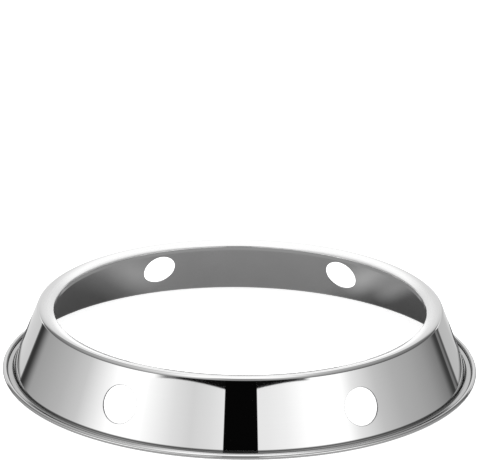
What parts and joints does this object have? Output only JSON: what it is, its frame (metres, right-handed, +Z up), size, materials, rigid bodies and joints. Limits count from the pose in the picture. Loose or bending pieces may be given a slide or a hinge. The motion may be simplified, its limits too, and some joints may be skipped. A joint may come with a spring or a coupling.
{
  "type": "wok ring",
  "caption": "Tapered ring of polished sheet steel with a curled foot flange, round vent holes and a rolled seat, which steadies a round-bottomed wok on a burner.",
  "frame": {"origin": "middle of the foot flange, on the surface that the ring stands on", "axes": "+Z up along the ring's axis, from the wide foot to the seat; a vent hole faces +X"},
  "size_m": [0.2476, 0.2476, 0.0345],
  "materials": {
    "polished_steel": "mirror polished"
  },
  "bodies": {
    "root": {"wok_ring": "polished_steel"}
  },
  "joints": []
}
